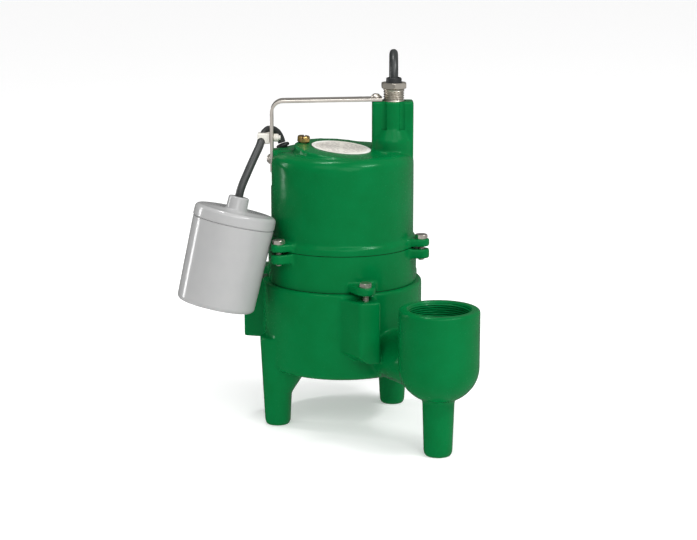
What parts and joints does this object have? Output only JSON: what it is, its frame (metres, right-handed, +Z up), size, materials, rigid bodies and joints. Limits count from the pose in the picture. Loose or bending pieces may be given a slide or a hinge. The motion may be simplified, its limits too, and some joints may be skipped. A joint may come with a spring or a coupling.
{
  "type": "submersible sump pump",
  "caption": "Green cast-iron submersible sump pump on legs with a threaded upright discharge socket, steel strap handle, tethered grey float switch and a coiled power lead.",
  "frame": {"origin": "on the floor, at the middle of the base of the pump's box without its power lead", "axes": "+Z up along the motor shaft, feet on z = 0; -Y is the front, with the discharge socket at the front right and the float at the left (-X)"},
  "size_m": [0.2951, 0.5215, 0.3755],
  "materials": {
    "green_enamel": "gloss green enamel over cast iron",
    "stainless": "drawn stainless bar, softly brushed",
    "zinc_steel": "zinc plated, bright",
    "brass": "machined brass",
    "black_rubber": "moulded rubber",
    "cord_jacket": "satin cord jacket",
    "grey_plastic": "smooth moulded plastic",
    "white_nylon": "moulded nylon",
    "plate_foil": "satin foil, blank",
    "gasket": "flat sheet gasket",
    "lamination": "stacked electrical steel",
    "copper_winding": "enamelled copper wire, varnished",
    "ground_steel": "ground bright",
    "cast_iron": "as cast",
    "seal_ceramic": "lapped ceramic",
    "black_plastic": "moulded plastic"
  },
  "bodies": {
    "pump": {"clip_retainer": "white_nylon", "coil_tie": "black_plastic", "cord_clip": "white_nylon", "discharge_elbow": "green_enamel", "gland_body": "stainless", "gland_bush": "black_rubber", "gland_nut": "stainless", "handle_strap": "stainless", "housing_bolt_a": "zinc_steel", "housing_bolt_b": "zinc_steel", "housing_bolt_c": "zinc_steel", "housing_gasket": "gasket", "lead_coil": "cord_jacket", "lead_tail": "cord_jacket", "lower_bearing_outer": "ground_steel", "motor_housing": "green_enamel", "name_plate": "plate_foil", "oil_fill_plug": "brass", "plug_blade_left": "brass", "plug_blade_right": "brass", "plug_body": "black_plastic", "plug_ground_pin": "brass", "power_lead": "cord_jacket", "run_capacitor": "black_plastic", "seal_plate": "green_enamel", "seal_seat": "seal_ceramic", "stator_core": "lamination", "strap_screw_side": "zinc_steel", "strap_screw_top": "zinc_steel", "suction_base": "green_enamel", "tether_grommet": "black_rubber", "tether_upper": "cord_jacket", "thermal_protector": "black_plastic", "upper_bearing_outer": "ground_steel", "volute_bolt_a": "zinc_steel", "volute_bolt_b": "zinc_steel", "volute_bolt_c": "zinc_steel", "volute_casing": "green_enamel", "volute_gasket": "gasket", "winding_bottom": "copper_winding", "winding_top": "copper_winding"},
    "rotor": {"motor_shaft": "ground_steel", "rotor_core": "lamination", "upper_bearing_inner": "ground_steel", "lower_bearing_inner": "ground_steel", "rotary_seal": "black_rubber", "seal_spring": "stainless", "impeller": "cast_iron", "impeller_nut": "zinc_steel"},
    "float": {"float_shell": "grey_plastic", "float_cap": "grey_plastic", "switch_tube": "white_nylon", "snap_switch": "black_plastic", "tether_lower": "cord_jacket"},
    "ball": {"switch_ball": "ground_steel"}
  },
  "joints": [
    {"name": "impeller_spin", "type": "hinge", "parent": "pump", "child": "rotor", "pos_m": [0.01555, 0.04104, 0.2], "axis": [0, 0, 1], "continuous": true},
    {"name": "float_swing", "type": "hinge", "parent": "pump", "child": "float", "pos_m": [-0.06685, 0.03154, 0.2832], "axis": [-0.3903, 0.9207, 0], "range_deg": [0, 110]},
    {"name": "ball_roll", "type": "slide", "parent": "float", "child": "ball", "axis": [0.2199, 0.0965, 0.9707], "range_m": [0, 0.02]}
  ]
}
